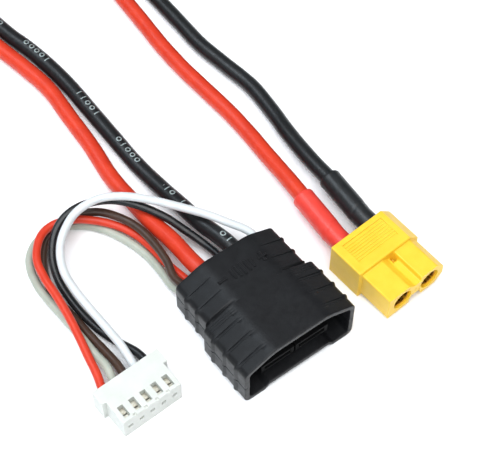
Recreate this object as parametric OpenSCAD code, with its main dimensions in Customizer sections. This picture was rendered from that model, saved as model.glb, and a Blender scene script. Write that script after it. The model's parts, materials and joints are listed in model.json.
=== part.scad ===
// Balance-charging adapter lead: a shrouded plug for the charger side, two power leads to a
// two-pole bullet connector, and five balance leads to a five-way balance connector.
// Millimetres. Origin at the bottom centre of the shrouded plug, +Z up, its mouth facing -Y.

/* [Plug] */
// Width across the front shroud
plug_w = 25.6; // [25:0.2:26]
// Width across the narrower rear section
rear_w = 23; // [22.8:0.1:23.6]
// Length from the mouth to the rear face
plug_l = 24; // [24:0.5:26]
// Height of the raised middle at the mouth
plug_h = 13.2; // [13:0.1:13.8]
// How far the raised middle falls for each millimetre towards the rear
middle_fall = 0.08; // [0.06:0.01:0.09]
// Slope of the two shoulders, in degrees
shoulder_a = 24; // [22:1:26]
// Wall of the two shells
wall = 1.1; // [1:0.1:1.2]
// Height of the joint between the two shells
parting_h = 5.4; // [5.2:0.1:5.6]
// Distance from the mouth back to the step in width
step_from_mouth = 13; // [12.5:0.5:13.5]

/* [Bullet connector] */
// Width of the rear block
bullet_w = 15.9; // [15.5:0.1:16.5]
// Height of the rear block
bullet_h = 8.1; // [8:0.1:8.4]
// Length of the rear block
block_l = 8.3; // [8:0.1:9]
// Length of the nose
nose_l = 7.7; // [7:0.1:8.5]
// Distance between the two sockets
socket_pitch = 7.2; // [7.1:0.1:7.4]
// Diameter of the pin that each socket takes
pin_d = 3.5; // [3.4:0.1:3.6]

/* [Balance connector] */
// Number of ways
ways = 5; // [5]
// Distance between ways
way_pitch = 2.5; // [2.5]
// Width of the housing's body
housing_w = 13; // [12.8:0.1:13.4]
// Height of the housing
housing_h = 5.75; // [5.6:0.05:6]
// Length of the housing
housing_l = 8.6; // [8.4:0.1:9.8]

/* [Leads] */
// Diameter of a power lead's insulation
lead_d = 3.5; // [3.3:0.1:3.5]
// Diameter of a power lead's copper core
core_d = 1.9; // [1.7:0.1:2]
// Diameter of a balance lead's insulation
balance_d = 1.7; // [1.5:0.1:1.7]
// Diameter of a balance lead's copper core
balance_core_d = 0.8; // [0.7:0.05:0.8]

/* [Hidden] */
$fn = 48;
CORD_SIDES = 8;

// ---- Plug: derived sizes ----
mouth_y = -plug_l / 2;
rear_y = plug_l / 2;
step_y = mouth_y + step_from_mouth;
corner_r = 1.6;
recess_h = 1;
recess_half = 7;
recess_slope = 1;
corner_steps = 5;
front_size = [plug_w / 2, 6.4];
rear_size = [rear_w / 2, 5.4];
fit_gap = 0.05;
spare = 5;

// Grip ribs along both sides: the rear edge of each one, and how long it runs towards the mouth
rear_ribs = [8.9, 5.4, 1.9];
front_ribs = [-1.6, -5.2, -8.8];
rib_l = 0.9;
rib_flat = 0.3;
rib_out = 0.35;

// Places where the leads leave the plug: x and z of each, at the rear face
lead_x = 4;
lead_z = 5;
exit_red = [-6.6, 3.3];
exit_grey = [-8.8, 2.6];
exit_brown = [-8.8, 5.2];
exit_white = [8.8, 5.2];
exit_black = [1, 3.3];
balance_exits = [exit_red, exit_grey, exit_brown, exit_white, exit_black];
comb_l = 3.4;
comb_hole_gap = 0.1;
insulation_start = 8;

// Carrier, blades and pins
carrier_back = 0.9;
carrier_l = 3.6;
tower_l = 6.6;
tower_w = 7.6;
tower_h = 2.2;
blade_w = 6;
blade_t = 0.9;
blade_z = 4.9;
blade_front = -9.6;
joggle_t = 0.5;
tab_z = lead_z + core_d / 2 + blade_t / 2;
tab_w = 2.8;
tab_back = 5.6;
blade_sleeve_r = [2.12, 2.5];
blade_sleeve_z = 5.3;
blade_sleeve_y = [1.6, 7.9];
pin_w = 0.8;
pin_front = -6;
pin_back = 3.4;
ferrule_l = 2.6;
ferrule_r = 0.72;

// ---- Bullet connector: place and derived sizes ----
bullet_at = [25.9, 2.3, 0];
bullet_turn = 4;
polarity_chamfer = 2.6;
nose_inset = 0.65;
nose_z = [0.9, 7.2];
nose_web_z = [2.9, 5.9];
nose_groove_half = 1.1;
groove_lean = 0.6;
groove_slope = [-2.1, -0.5];
web_pocket = [1.1, 1.2, 1.4];
axis_z = bullet_h / 2;
socket_r = pin_d / 2;
socket_wall = 0.45;
socket_bore_l = 9;
socket_front = -block_l - nose_l + 0.5;
slit_w = 0.3;
slit_l = 5;
cup_r = 1.9;
cup_wall = 0.45;
cup_l = 5;
cup_out = 3;
core_into_lead = 1.8;
sleeve_neck_l = 3;
sleeve_body_l = 11.6;
sleeve_turn = [-2.6, 0, -8];

// ---- Balance connector: place and derived sizes ----
housing_at = [-28.4, 4.3, 0];
housing_turn = 2;
ear_w = 0.9;
ear_l = 3.2;
cavity_w = 2.04;
cavity_z = [1.6, 4.2];
cavity_l = 7.4;
window_w = 1.2;
window_l = 2.6;
window_y = -6.6;
post_hole = 1;
notch_w = 0.6;
notch_l = 0.5;
wire_z = 2.9;
terminal_box = [1.6, 4.4, 1.9];
terminal_hole = [0.8, 0.8];

// ---- Routes of the leads: x, y, z along each one, from inside the plug to its connector ----
route_positive = [
    [-4, 8, 5], [-4, 12, 5], [-4.5, 17, 5], [-4.5, 23, 4.25], [-5, 30, 3.25], [-5, 37, 2.25],
    [-5, 45, 1.8], [-4, 54, 1.8], [-3.5, 63, 1.8], [-3, 72, 1.8], [-4, 80, 1.8], [-5.5, 88, 1.8],
    [-7, 97, 1.8], [-7.5, 107, 1.8], [-7.5, 118, 1.8], [-7, 129, 1.8], [-4.5, 139, 1.8],
    [0, 146, 1.8], [7, 150, 1.8], [14, 149.5, 1.8], [20, 145, 1.8], [23.5, 137.5, 1.8],
    [24.5, 128, 1.8], [25, 117, 1.8], [25, 106, 1.8], [25, 96, 1.8], [24.5, 86, 1.8],
    [24, 76, 1.8], [23.5, 68, 1.8], [23.5, 60, 1.8], [24, 52, 1.8], [24.5, 44, 1.8],
    [24.5, 37, 1.8], [24, 30, 2.25], [23.5, 23, 3], [23, 17, 3.5], [22.5, 11, 3.8], [22.2, 6, 4]
];
route_negative = [
    [4, 8, 5], [4, 12, 5], [3.5, 17, 5], [2.5, 23, 4.25], [2, 30, 3.25], [1.5, 37, 2.25],
    [1, 45, 1.8], [1, 54, 1.8], [1, 63, 1.8], [1, 70, 1.8], [0.5, 77, 1.8], [-0.5, 84, 1.8],
    [-2, 91, 1.8], [-3, 99, 1.8], [-3.5, 108, 1.8], [-3.5, 118, 1.8], [-2.5, 128, 1.8],
    [1, 137.5, 2.5], [7, 144, 4], [14.5, 147, 5.5], [22, 146, 5.5], [28, 141, 4],
    [31, 133, 2.5], [32, 124, 1.8], [32, 114, 1.8], [31.5, 104, 1.8], [31, 95, 1.8],
    [30.5, 87, 1.8], [30.5, 79, 1.8], [30.5, 71, 1.8], [30.5, 63, 1.8], [31.5, 55, 1.8],
    [32.5, 47, 1.8], [32, 39, 1.8], [31, 32, 2.25], [30.2, 24, 3], [30, 17, 3.5],
    [29.7, 11, 3.8], [29.4, 6.5, 4]
];
route_white = [
    [8.8, 8, 5.2], [8.8, 12, 5.2], [8.3, 15.5, 5.75], [6, 19, 6.5], [3.5, 22.5, 7.25],
    [0.5, 26, 8], [-3.5, 31, 8.25], [-7.5, 35, 8.5], [-12, 37.8, 8.25], [-17, 38.2, 7.5],
    [-21, 36.5, 6.5], [-24, 33.5, 5.75], [-25.8, 29.5, 5], [-26.2, 25, 4.5], [-26, 20, 4],
    [-25.7, 15, 3.75], [-25.5, 10, 3.5], [-25.7, 6, 3], [-25.9, 3, 2.9]
];
route_black = [
    [1, 8, 3.3], [1, 12, 3.3], [1.3, 16, 2.75], [0.7, 20, 2.5], [-1, 24, 3.9], [-3, 28, 5.6],
    [-6, 33, 6.4], [-9.5, 37, 6.5], [-14, 39.3, 6.5], [-18.5, 39.7, 6], [-22.5, 38, 5],
    [-25.5, 34.5, 3.5], [-27, 30, 2.25], [-27.3, 25, 1.5], [-27, 20, 1.25], [-26.3, 16, 1.25],
    [-25.2, 12, 1.75], [-23.8, 8, 2.5], [-23.4, 5, 2.9], [-23.4, 3, 2.9]
];
route_brown = [
    [-8.8, 8, 5.2], [-8.8, 12, 5.2], [-9.2, 16, 4.5], [-8.2, 20, 4.5], [-7.8, 25, 4.25],
    [-8.2, 30, 4], [-9.7, 34.3, 3.75], [-12.2, 38.2, 3.25], [-15.5, 40.3, 2.75],
    [-20, 40.8, 2.6], [-24, 39.3, 2], [-27, 35.8, 1.5], [-28.8, 31.5, 1], [-29.2, 26.5, 1],
    [-28.8, 21, 1], [-28.6, 16.5, 1.4], [-28.3, 12, 2], [-28.1, 8, 2.5], [-28.3, 5, 2.9],
    [-28.4, 3, 2.9]
];
route_red = [
    [-6.6, 8, 3.3], [-6.6, 12, 3.3], [-7.3, 16, 3], [-7.9, 20.5, 2.5], [-8.1, 25, 2.25],
    [-8.8, 29.7, 2], [-10.7, 33.7, 2.25], [-14, 37.2, 3], [-18, 39.5, 4], [-22, 40.4, 4.25],
    [-25.5, 39, 4.5], [-28.4, 35.3, 4.5], [-29.4, 31, 4.25], [-29.7, 26, 4.25], [-30.2, 21, 4],
    [-30.9, 16.5, 3.75], [-31.8, 11.5, 3.25], [-32.4, 8, 3], [-33.2, 5, 2.9], [-33.4, 3, 2.9]
];
route_grey = [
    [-8.8, 8, 2.6], [-8.8, 12, 2.6], [-9.8, 16, 2], [-9.6, 20, 1.75], [-9.6, 25, 1.25],
    [-10.7, 30, 1], [-12.7, 34.8, 1], [-15.5, 38.5, 0.9], [-19.5, 40.9, 0.9], [-24.5, 41.2, 0.9],
    [-28, 39.2, 0.9], [-29.9, 36, 1], [-30.8, 31.5, 1.25], [-30.8, 27, 1.5], [-30.5, 22, 1.75],
    [-30.3, 17, 2], [-30.2, 12, 2.25], [-30, 8.5, 2.75], [-30.7, 5, 2.9], [-30.9, 3, 2.9]
];

// ---- Swept cord: one ring of points at every point of its route ----
function unit(v) = v / norm(v);
function heading(p, i) = unit(p[min(i + 1, len(p) - 1)] - p[max(i - 1, 0)]);
function cord_ring(p, i, r) =
    let (t = heading(p, i), side = unit(cross(t, [0, 0, 1])), up = cross(side, t))
    [for (k = [0:CORD_SIDES - 1]) let (a = k * 360 / CORD_SIDES) p[i] + r * (cos(a) * side + sin(a) * up)];
function cord_wall(rings) = [
    for (i = [0:rings - 2], k = [0:CORD_SIDES - 1])
        let (a = i * CORD_SIDES + k, b = i * CORD_SIDES + (k + 1) % CORD_SIDES)
        each [[a, a + CORD_SIDES, b], [b, a + CORD_SIDES, b + CORD_SIDES]]
];

module cord(path, d) {
    rings = len(path);
    first_cap = [for (k = [0:CORD_SIDES - 1]) k];
    last_cap = [for (k = [CORD_SIDES - 1:-1:0]) (rings - 1) * CORD_SIDES + k];
    polyhedron(
        points = [for (i = [0:rings - 1]) each cord_ring(path, i, d / 2)],
        faces = concat([first_cap], [last_cap], cord_wall(rings))
    );
}

// ---- Small shared shapes ----
module along_y(from, to, r) {
    translate([0, from, 0]) rotate([-90, 0, 0]) cylinder(h = to - from, r = r);
}

module box_from(low, high) {
    translate(low) cube(high - low);
}

// ---- Plug shells ----
// Height of the raised middle at y: it falls evenly from the mouth to the rear face
function middle_at(y) = plug_h - middle_fall * (y - mouth_y);

// Height of the centre of the upper corner, whose arc meets the side wall and the shoulder
function corner_z(half, flat, mid_z, r) =
    mid_z - (half - r - flat) * tan(shoulder_a) - r / cos(shoulder_a);

// Outline above the parting line, at the mouth: side walls, corners, shoulders and raised middle
function upper_outline(half, flat, inset) =
    let (
        h = half - inset, r = corner_r - inset / 2, mid_z = plug_h - inset,
        edge = flat - inset * tan(shoulder_a / 2),
        top = corner_z(h, edge, mid_z, r),
        turns = [for (i = [0:corner_steps]) (90 - shoulder_a) * i / corner_steps]
    )
    concat(
        [[h, -1]],
        [for (a = turns) [h - r + r * cos(a), top + r * sin(a)]],
        [[edge, mid_z], [-edge, mid_z]],
        [for (i = [corner_steps:-1:0]) [-h + r - r * cos(turns[i]), top + r * sin(turns[i])]],
        [[-h, -1]]
    );

// Outline below the parting line: side walls, corners and the shallow recess
function lower_outline(half, top, inset) =
    let (h = half - inset, r = corner_r - inset / 2, low = inset)
    concat(
        [for (a = [-90:18:0]) [h - r + r * cos(a), low + r + r * sin(a)]],
        [[h, top], [-h, top]],
        [for (a = [180:18:270]) [-h + r + r * cos(a), low + r + r * sin(a)]],
        [
            [-recess_half - recess_slope, low], [-recess_half, low + recess_h],
            [recess_half, low + recess_h], [recess_half + recess_slope, low]
        ]
    );

// Upper part between two places along the plug, from the height low: a prism along the falling middle
module upper_part(front, back, size, inset, low) {
    tilt = atan(middle_fall);
    outline = upper_outline(size[0], size[1], inset);
    intersection() {
        box_from([-plug_w, front, low], [plug_w, back, plug_h + 1]);
        translate([0, mouth_y, 0]) rotate([-tilt, 0, 0])
            translate([0, plug_l + spare, 0]) rotate([90, 0, 0]) linear_extrude(plug_l + 2 * spare)
                polygon([for (p = outline) [p[0], p[1] * cos(tilt)]]);
    }
}

module lower_part(front, back, size, inset, top) {
    translate([0, back, 0]) rotate([90, 0, 0]) linear_extrude(back - front)
        polygon(lower_outline(size[0], top, inset));
}

// One rib on each side, between two heights
module rib_pair(y, half, low, high) {
    for (s = [-1, 1]) scale([s, 1, 1])
        translate([half, 0, low]) linear_extrude(high - low)
            polygon([[-0.2, y], [rib_out, y], [rib_out, y - rib_flat], [0, y - rib_l], [-0.2, y - rib_l]]);
}

function rib_top(y, size) = corner_z(size[0], size[1], middle_at(y), corner_r);

module plug_upper_shell() {
    color("#26272b") difference() {
        union() {
            upper_part(mouth_y, step_y, front_size, 0, parting_h);
            upper_part(step_y, rear_y, rear_size, 0, parting_h);
            for (y = front_ribs) rib_pair(y, front_size[0], parting_h, rib_top(y, front_size));
            for (y = rear_ribs) rib_pair(y, rear_size[0], parting_h, rib_top(y, rear_size));
        }
        upper_part(mouth_y - 1, step_y - wall, front_size, wall, parting_h - 1);
        upper_part(step_y - wall - 1, rear_y + 1, rear_size, wall, parting_h - 1);
    }
}

module plug_lower_shell() {
    color("#222327") difference() {
        union() {
            lower_part(mouth_y, step_y, front_size, 0, parting_h);
            lower_part(step_y, rear_y, rear_size, 0, parting_h);
            for (y = front_ribs) rib_pair(y, front_size[0], corner_r, parting_h);
            for (y = rear_ribs) rib_pair(y, rear_size[0], corner_r, parting_h);
        }
        lower_part(mouth_y - 1, step_y - wall, front_size, wall, parting_h + 1);
        lower_part(step_y - wall - 1, rear_y + 1, rear_size, wall, parting_h + 1);
    }
}

// ---- Inside the plug ----
module blade_slot(x, gap) {
    translate([x, 0, 0])
        box_from([-blade_w / 2 - gap, -20, blade_z - blade_t / 2 - gap],
                 [blade_w / 2 + gap, 20, blade_z + blade_t / 2 + gap]);
}

module pin_slot(at, gap) {
    translate([at[0], 0, at[1]])
        box_from([-pin_w / 2 - gap, -20, -pin_w / 2 - gap], [pin_w / 2 + gap, 20, pin_w / 2 + gap]);
}

// Outline that trims a filling below: chamfered corners and the recess
function trim_outline(h, r, low) = [
    [h + 1, plug_h + 1], [h + 1, low + r + 1], [h - r, low],
    [recess_half + recess_slope, low], [recess_half, low + recess_h],
    [-recess_half, low + recess_h], [-recess_half - recess_slope, low],
    [-h + r, low], [-h - 1, low + r + 1], [-h - 1, plug_h + 1]
];

// Solid that fills both shells between two places, with a small gap all round
module filling(front, back, size) {
    inset = wall + fit_gap;
    intersection() {
        upper_part(front, back, size, inset, 0);
        translate([0, back + 1, 0]) rotate([90, 0, 0]) linear_extrude(back - front + 2)
            polygon(trim_outline(size[0] - inset, corner_r - inset / 2, inset));
    }
}

module contact_carrier() {
    back = step_y - wall - fit_gap;
    front = back - carrier_l;
    color("#1d1e21") difference() {
        union() {
            filling(front, back, front_size);
            filling(back, back + carrier_back, rear_size);
            for (x = [-lead_x, lead_x]) translate([x, 0, blade_z])
                box_from([-tower_w / 2, front - tower_l, -tower_h / 2], [tower_w / 2, front + 0.5, tower_h / 2]);
        }
        for (x = [-lead_x, lead_x]) blade_slot(x, fit_gap);
        for (at = balance_exits) pin_slot(at, fit_gap);
    }
}

module wire_comb() {
    color("#1b1c1f") difference() {
        filling(rear_y - comb_l, rear_y - 0.2, rear_size);
        for (x = [-lead_x, lead_x]) translate([x, 0, lead_z])
            along_y(0, 20, lead_d / 2 + comb_hole_gap);
        for (at = balance_exits) translate([at[0], 0, at[1]])
            along_y(0, 20, balance_d / 2 + comb_hole_gap);
    }
}

// Stamped contact: a wide blade in its tower, a step up behind the carrier, and the solder tab
module power_blade(x) {
    wide_back = step_y - wall;
    step_front = wide_back + carrier_back;
    step_back = step_front + joggle_t;
    low = blade_z - blade_t / 2;
    high = tab_z + blade_t / 2;
    color("#c9a15a") translate([x, 0, 0]) union() {
        box_from([-blade_w / 2, blade_front, low], [blade_w / 2, wide_back, low + blade_t]);
        box_from([-tab_w / 2, wide_back - 0.5, low], [tab_w / 2, step_back, low + blade_t]);
        box_from([-tab_w / 2, step_front, low], [tab_w / 2, step_back, high]);
        box_from([-tab_w / 2, step_front, high - blade_t], [tab_w / 2, tab_back, high]);
    }
}

module blade_sleeve(x, tint) {
    color(tint) translate([x, 0, blade_sleeve_z]) difference() {
        along_y(blade_sleeve_y[0], blade_sleeve_y[1], blade_sleeve_r[1]);
        along_y(blade_sleeve_y[0] - 1, blade_sleeve_y[1] + 1, blade_sleeve_r[0]);
    }
}

module plug_core(x) {
    color("#c77b4a") translate([x, 0, lead_z]) along_y(blade_sleeve_y[0] + 0.6, insulation_start, core_d / 2);
}

module balance_pin(at) {
    color("#d8c27a") translate([at[0], 0, at[1]]) difference() {
        union() {
            box_from([-pin_w / 2, pin_front, -pin_w / 2], [pin_w / 2, pin_back, pin_w / 2]);
            along_y(pin_back - 0.2, pin_back + ferrule_l, ferrule_r);
        }
        along_y(pin_back, pin_back + ferrule_l + 1, balance_core_d / 2 + 0.02);
    }
}

module balance_cores_plug() {
    color("#c77b4a") for (at = balance_exits) translate([at[0], 0, at[1]])
        along_y(pin_back + 0.3, insulation_start, balance_core_d / 2);
}

// ---- Bullet connector ----
module at_bullet() {
    translate(bullet_at) rotate([0, 0, bullet_turn]) children();
}

// Outline with one square end and one chamfered end, in x and z
function keyed_outline(half_l, half_r, low, high, c) = [
    [-half_l, low], [half_r - c, low], [half_r, low + c],
    [half_r, high - c], [half_r - c, high], [-half_l, high]
];

module keyed_block(front, back, half, low, high, c) {
    translate([0, back, 0]) rotate([90, 0, 0]) linear_extrude(back - front)
        polygon(keyed_outline(half, half, low, high, c));
}

// Groove above the web between the sockets: a long slope on one side, an upright wall on the other
module upper_nose_groove() {
    top = nose_z[1];
    web = nose_web_z[1];
    translate([0, -block_l, 0]) rotate([90, 0, 0]) linear_extrude(nose_l + 1)
        polygon([[groove_slope[0], top + 1], [groove_slope[0], top], [groove_slope[1], web],
                 [nose_groove_half, web], [nose_groove_half, top + 1]]);
    box_from([nose_groove_half - web_pocket[0], -block_l - web_pocket[1], web - web_pocket[2]],
             [nose_groove_half, -block_l, web + 1]);
}

module lower_nose_groove() {
    foot = nose_groove_half + groove_lean;
    translate([0, -block_l, 0]) rotate([90, 0, 0]) linear_extrude(nose_l + 1)
        polygon([[-foot, -1], [foot, -1], [foot, nose_z[0]], [nose_groove_half, nose_web_z[0]],
                 [-nose_groove_half, nose_web_z[0]], [-foot, nose_z[0]]]);
}

module label_panel() {
    panel = [10.2, 5];
    panel_d = 0.35;
    rib_w = 0.3;
    ribs = 7;
    x0 = -bullet_w / 2 + 1.9;
    y0 = -1.2 - panel[1];
    difference() {
        box_from([x0, y0, bullet_h - panel_d], [x0 + panel[0], y0 + panel[1], bullet_h + 1]);
        for (i = [1:ribs]) translate([x0 - 1, y0 + i * panel[1] / (ribs + 1) - rib_w / 2, bullet_h - panel_d])
            cube([panel[0] + 2, rib_w, 0.2]);
    }
}

module bullet_housing() {
    hole_r = socket_r + socket_wall + fit_gap;
    color("#f2c12e") at_bullet() difference() {
        union() {
            keyed_block(-block_l, 0, bullet_w / 2, 0, bullet_h, polarity_chamfer);
            keyed_block(-block_l - nose_l, -block_l + 0.5, bullet_w / 2 - nose_inset,
                        nose_z[0], nose_z[1], polarity_chamfer - 0.6);
        }
        upper_nose_groove();
        lower_nose_groove();
        label_panel();
        for (s = [-1, 1]) translate([s * socket_pitch / 2, 0, axis_z])
            along_y(-block_l - nose_l - 1, 1, hole_r);
    }
}

module bullet_socket(s) {
    back = cup_out;
    web = cup_out - cup_l;
    color("#e0b64d") at_bullet() translate([s * socket_pitch / 2, 0, axis_z]) difference() {
        union() {
            along_y(socket_front, web, socket_r + socket_wall);
            along_y(web - 0.5, back, cup_r);
        }
        along_y(socket_front - 1, socket_front + socket_bore_l, socket_r);
        along_y(web, back + 1, cup_r - cup_wall);
        for (a = [45, 135]) rotate([0, a, 0])
            box_from([-slit_w / 2, socket_front - 1, -5], [slit_w / 2, socket_front + slit_l, 5]);
        box_from([-cup_r, back - 2, 0.9], [cup_r, back + 1, cup_r + 1]);
    }
}

module bullet_core(s) {
    color("#c77b4a") at_bullet() translate([s * socket_pitch / 2, 0, axis_z])
        along_y(cup_out - cup_l + 0.3, cup_out + core_into_lead, core_d / 2);
}

module bullet_solder(s) {
    color("#b9bcc0") at_bullet() translate([s * socket_pitch / 2, 0, axis_z]) difference() {
        along_y(cup_out - cup_l + 0.05, cup_out - 2.1, cup_r - cup_wall - 0.03);
        along_y(cup_out - cup_l + 0.2, cup_out + 1, core_d / 2 + 0.03);
    }
}

// Shrunk tube: narrow over the solder cup, then fuller and turned to lie along the lead
module sleeve_shape(neck_r, body_r, over) {
    along_y(0.35 - over, sleeve_neck_l, neck_r);
    translate([0, sleeve_neck_l, 0]) {
        rotate(sleeve_turn) along_y(0, sleeve_body_l + over, body_r);
        sphere(r = body_r);
    }
}

module bullet_sleeve(s, tint) {
    color(tint) at_bullet() translate([s * socket_pitch / 2, 0, axis_z]) difference() {
        sleeve_shape(cup_r + 0.32, lead_d / 2 + 0.58, 0);
        sleeve_shape(cup_r + 0.1, lead_d / 2 + 0.22, 1);
    }
}

// ---- Balance connector ----
module at_housing() {
    translate(housing_at) rotate([0, 0, housing_turn]) children();
}

function way_x(i) = (i - (ways + 1) / 2) * way_pitch;

module balance_housing() {
    color("#e9ece4") at_housing() difference() {
        union() {
            box_from([-housing_w / 2, -housing_l, 0], [housing_w / 2, 0, housing_h]);
            for (s = [-1, 1]) scale([s, 1, 1])
                box_from([housing_w / 2 - 0.5, -ear_l, 0], [housing_w / 2 + ear_w, 0, housing_h]);
        }
        for (i = [1:ways]) translate([way_x(i), 0, 0]) {
            box_from([-cavity_w / 2, -cavity_l, cavity_z[0]], [cavity_w / 2, 1, cavity_z[1]]);
            box_from([-window_w / 2, window_y - window_l / 2, wire_z],
                     [window_w / 2, window_y + window_l / 2, housing_h + 1]);
            box_from([-post_hole / 2, -housing_l - 1, wire_z - post_hole / 2],
                     [post_hole / 2, -cavity_l + 1, wire_z + post_hole / 2]);
        }
        for (i = [1:ways - 1]) translate([way_x(i) + way_pitch / 2, 0, 0])
            box_from([-notch_w / 2, -housing_l - 1, housing_h - notch_l],
                     [notch_w / 2, -housing_l + notch_l, housing_h + 1]);
    }
}

module balance_terminal(i) {
    front = -cavity_l + 0.1;
    box_back = front + terminal_box[1];
    color("#c9c4b4") at_housing() translate([way_x(i), 0, 0]) difference() {
        union() {
            box_from([-terminal_box[0] / 2, front, wire_z - terminal_box[2] / 2],
                     [terminal_box[0] / 2, box_back, wire_z + terminal_box[2] / 2]);
            translate([0, 0, wire_z]) along_y(box_back - 0.2, box_back + 1.2, 0.7);
        }
        box_from([-terminal_hole[0] / 2, front - 1, wire_z - terminal_hole[1] / 2],
                 [terminal_hole[0] / 2, box_back - 1, wire_z + terminal_hole[1] / 2]);
        translate([0, 0, wire_z]) along_y(box_back - 0.6, box_back + 2, balance_core_d / 2 + 0.02);
    }
}

module balance_cores_housing() {
    box_back = -cavity_l + 0.1 + terminal_box[1];
    color("#c77b4a") at_housing() for (i = [1:ways]) translate([way_x(i), 0, wire_z])
        along_y(box_back - 0.4, -0.8, balance_core_d / 2);
}

// ---- Leads ----
module lead_positive() { color("#e8452a") cord(route_positive, lead_d); }
module lead_negative() { color("#1e2022") cord(route_negative, lead_d); }
module balance_lead_red() { color("#e8452a") cord(route_red, balance_d); }
module balance_lead_grey() { color("#a9ac9f") cord(route_grey, balance_d); }
module balance_lead_brown() { color("#40302a") cord(route_brown, balance_d); }
module balance_lead_white() { color("#eef0ee") cord(route_white, balance_d); }
module balance_lead_black() { color("#1e2022") cord(route_black, balance_d); }

plug_upper_shell();
plug_lower_shell();
contact_carrier();
wire_comb();
power_blade(-lead_x);  // power_blade_positive
power_blade(lead_x);  // power_blade_negative
blade_sleeve(-lead_x, "#d8402c");  // blade_sleeve_positive
blade_sleeve(lead_x, "#1a1b1d");  // blade_sleeve_negative
plug_core(-lead_x);  // plug_core_positive
plug_core(lead_x);  // plug_core_negative
balance_pin(exit_red);  // balance_pin_red
balance_pin(exit_grey);  // balance_pin_grey
balance_pin(exit_brown);  // balance_pin_brown
balance_pin(exit_white);  // balance_pin_white
balance_pin(exit_black);  // balance_pin_black
balance_cores_plug();
lead_positive();
lead_negative();
balance_lead_red();
balance_lead_grey();
balance_lead_brown();
balance_lead_white();
balance_lead_black();
bullet_housing();
bullet_socket(-1);  // bullet_socket_positive
bullet_socket(1);  // bullet_socket_negative
bullet_core(-1);  // bullet_core_positive
bullet_core(1);  // bullet_core_negative
bullet_solder(-1);  // bullet_solder_positive
bullet_solder(1);  // bullet_solder_negative
bullet_sleeve(-1, "#f0544a");  // bullet_sleeve_positive
bullet_sleeve(1, "#1f2123");  // bullet_sleeve_negative
balance_housing();
balance_terminal(1);  // balance_terminal_1
balance_terminal(2);  // balance_terminal_2
balance_terminal(3);  // balance_terminal_3
balance_terminal(4);  // balance_terminal_4
balance_terminal(5);  // balance_terminal_5
balance_cores_housing();
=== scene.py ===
import json
import math

import bmesh
import bpy
import numpy as np
from mathutils import Matrix, Vector


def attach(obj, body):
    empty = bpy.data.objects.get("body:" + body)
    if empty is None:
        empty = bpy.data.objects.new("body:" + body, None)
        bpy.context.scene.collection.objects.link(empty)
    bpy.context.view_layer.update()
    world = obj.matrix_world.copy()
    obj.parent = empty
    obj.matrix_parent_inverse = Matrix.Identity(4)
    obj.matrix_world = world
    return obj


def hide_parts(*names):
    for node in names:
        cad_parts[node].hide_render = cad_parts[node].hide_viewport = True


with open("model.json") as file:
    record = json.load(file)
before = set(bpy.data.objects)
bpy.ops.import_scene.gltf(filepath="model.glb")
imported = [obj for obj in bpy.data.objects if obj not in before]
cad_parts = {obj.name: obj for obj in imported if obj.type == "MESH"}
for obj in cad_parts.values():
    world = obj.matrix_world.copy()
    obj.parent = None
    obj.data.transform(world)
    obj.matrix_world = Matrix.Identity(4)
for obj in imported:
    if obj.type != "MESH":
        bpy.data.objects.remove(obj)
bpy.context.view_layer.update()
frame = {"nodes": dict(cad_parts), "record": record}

MM = 0.001


# ---------------------------------------------------------------- camera, floor and lights

CAMERA_TARGET = Vector((9.1, 19.8, 0)) * MM
CAMERA_AZIMUTH = math.radians(-36.35)
CAMERA_ELEVATION = math.radians(56.8)
CAMERA_DISTANCE = 278 * MM
CAMERA_LENS = 103.9
SENSOR_WIDTH = 36
LIT_CENTRE = Vector((0, 20, 0)) * MM
LIGHT_DISTANCE = 0.9
SKY_LEVELS = (0.0, 0.45, 0.85, 1.0)
SKY_GREYS = (0.16, 0.26, 0.34, 1.0)
SKY_STRENGTH = 0.8


def aim(obj, place, target):
    obj.location = place
    obj.rotation_mode = "QUATERNION"
    obj.rotation_quaternion = (target - place).to_track_quat("-Z", "Y")


def direction(azimuth, elevation):
    """Unit vector towards a place round the object; azimuth 0 is in front, at -Y."""
    flat = math.cos(elevation)
    return Vector((math.sin(azimuth) * flat, -math.cos(azimuth) * flat, math.sin(elevation)))


def add_camera():
    data = bpy.data.cameras.new("camera")
    data.lens = CAMERA_LENS
    data.sensor_width = SENSOR_WIDTH
    data.clip_start = 0.01
    data.clip_end = 10
    camera = bpy.data.objects.new("camera", data)
    bpy.context.scene.collection.objects.link(camera)
    back = direction(CAMERA_AZIMUTH, CAMERA_ELEVATION)
    aim(camera, CAMERA_TARGET + back * CAMERA_DISTANCE, CAMERA_TARGET)
    bpy.context.scene.camera = camera


def add_light(name, azimuth, elevation, size, power, tint):
    """A square softbox that faces the object; angles are in degrees and power in watts."""
    data = bpy.data.lights.new(name, "AREA")
    data.shape = "RECTANGLE"
    data.size = data.size_y = size
    data.energy = power
    data.color = tint
    light = bpy.data.objects.new(name, data)
    bpy.context.scene.collection.objects.link(light)
    away = direction(math.radians(azimuth), math.radians(elevation))
    aim(light, LIT_CENTRE + away * LIGHT_DISTANCE, LIT_CENTRE)


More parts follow.
